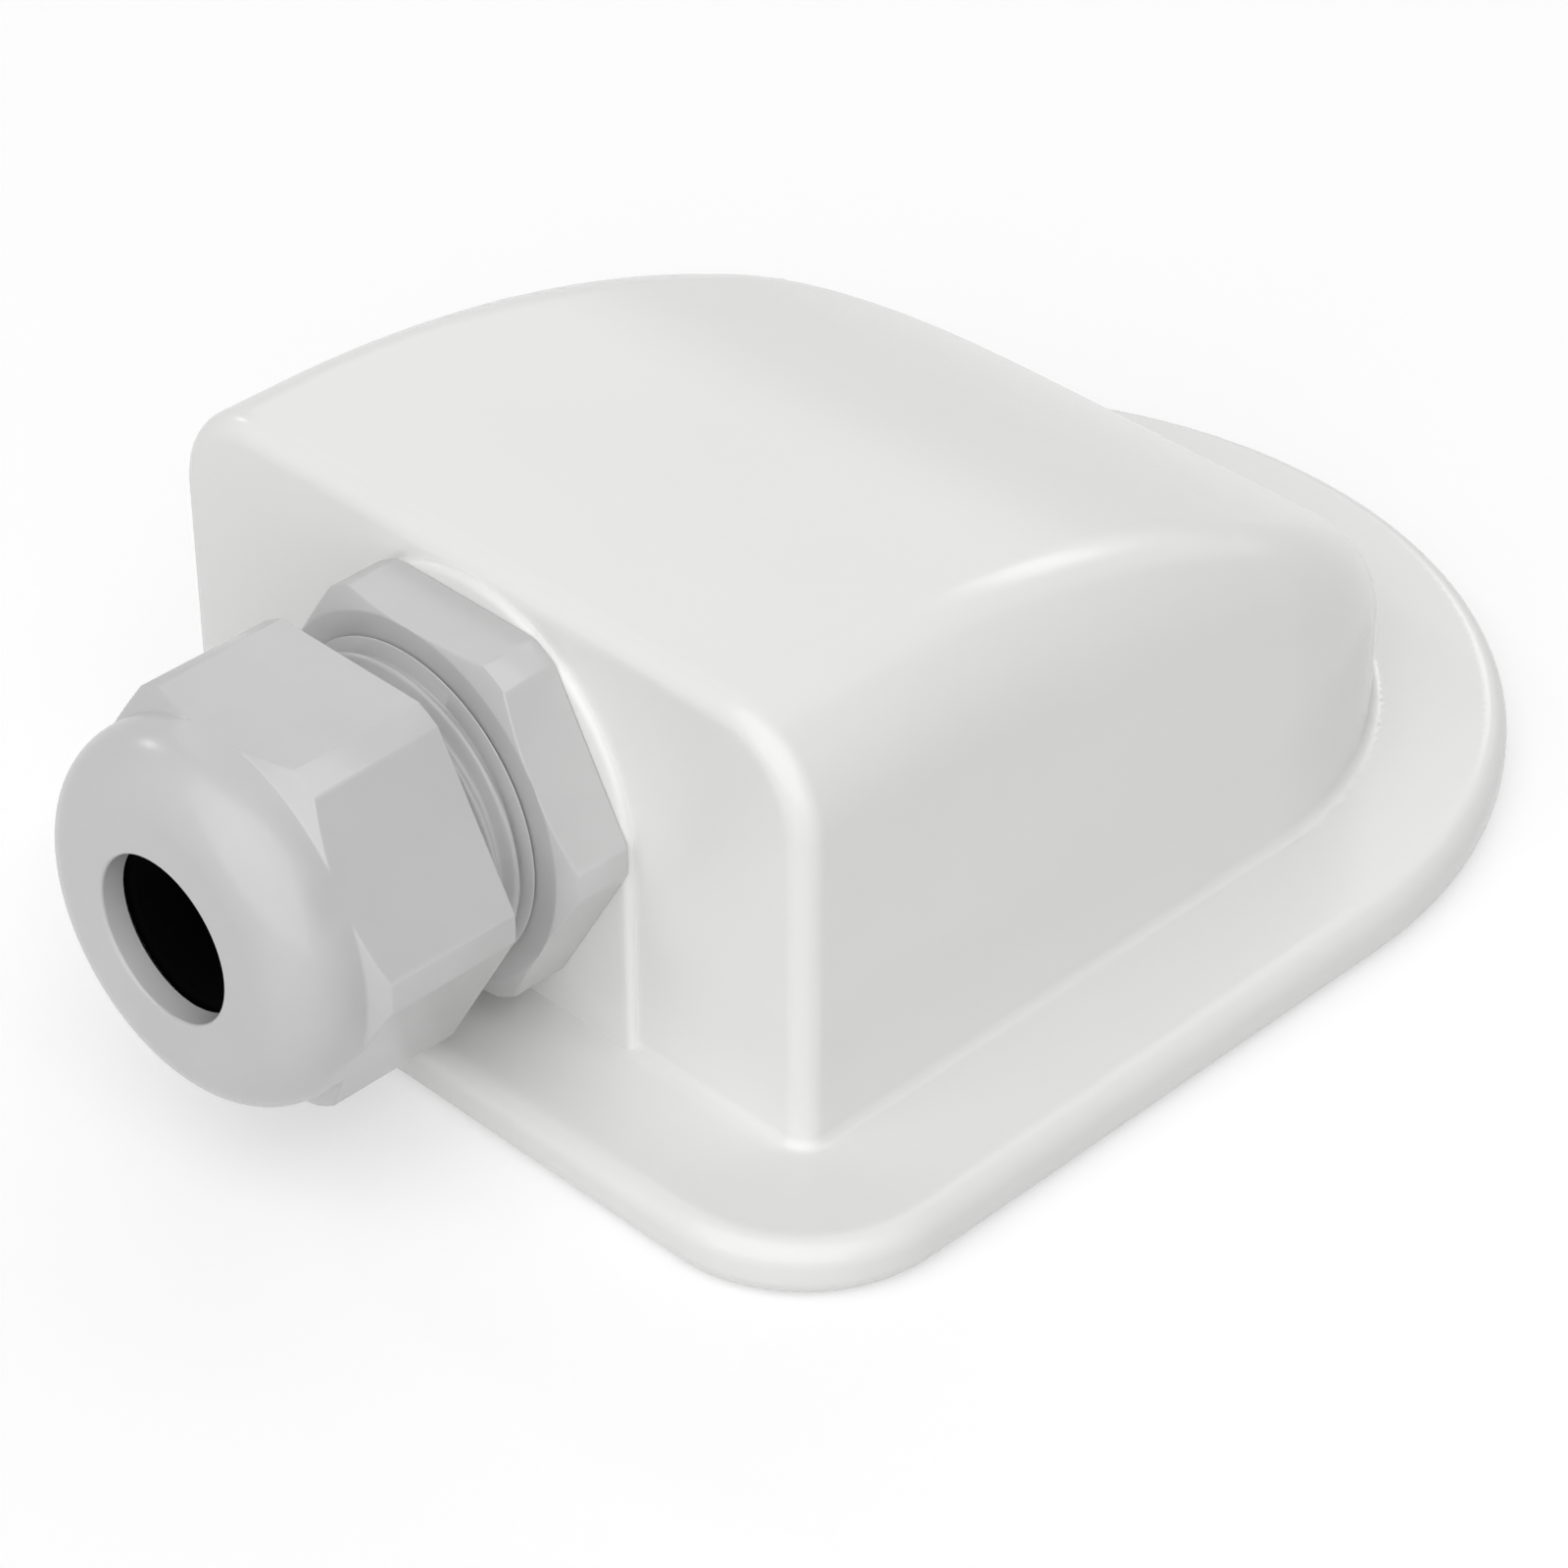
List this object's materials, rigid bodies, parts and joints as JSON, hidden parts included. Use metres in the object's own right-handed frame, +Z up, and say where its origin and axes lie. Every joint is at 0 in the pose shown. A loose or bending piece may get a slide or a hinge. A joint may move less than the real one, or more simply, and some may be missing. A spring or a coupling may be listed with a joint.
{
  "type": "solar roof cable entry box",
  "caption": "D-shaped moulded roof box with a sloping hollow hood and rounded flange, and a cable gland with a dome nut in its front wall.",
  "frame": {"origin": "middle of the bounding box, on the roof plane under the flange", "axes": "+Z up from the roof, -Y out of the cable gland, X across the hood"},
  "size_m": [0.072, 0.102, 0.0328],
  "materials": {
    "housing_plastic": "white moulded ABS, satin",
    "gland_plastic": "light grey moulded nylon, satin",
    "seal_rubber": "black moulded rubber, matt"
  },
  "bodies": {
    "box": {"housing": "housing_plastic", "gland_body": "gland_plastic", "flat_gasket": "seal_rubber"},
    "insert": {"clamp_claw": "gland_plastic", "seal": "seal_rubber"},
    "nut": {"dome_nut": "gland_plastic"}
  },
  "joints": [
    {"name": "insert_slide", "type": "slide", "parent": "box", "child": "insert", "axis": [0, 1, 0], "range_m": [-0.00451, 0.00301]},
    {"name": "nut_turn", "type": "hinge", "parent": "insert", "child": "nut", "pos_m": [0, -0.04353, 0.0184], "axis": [0, 1, 0], "range_deg": [-1080, 720]}
  ],
  "couplings": [
    {"joint": "insert_slide", "follows": "nut_turn", "m_per_rad": 0.00023873}
  ]
}
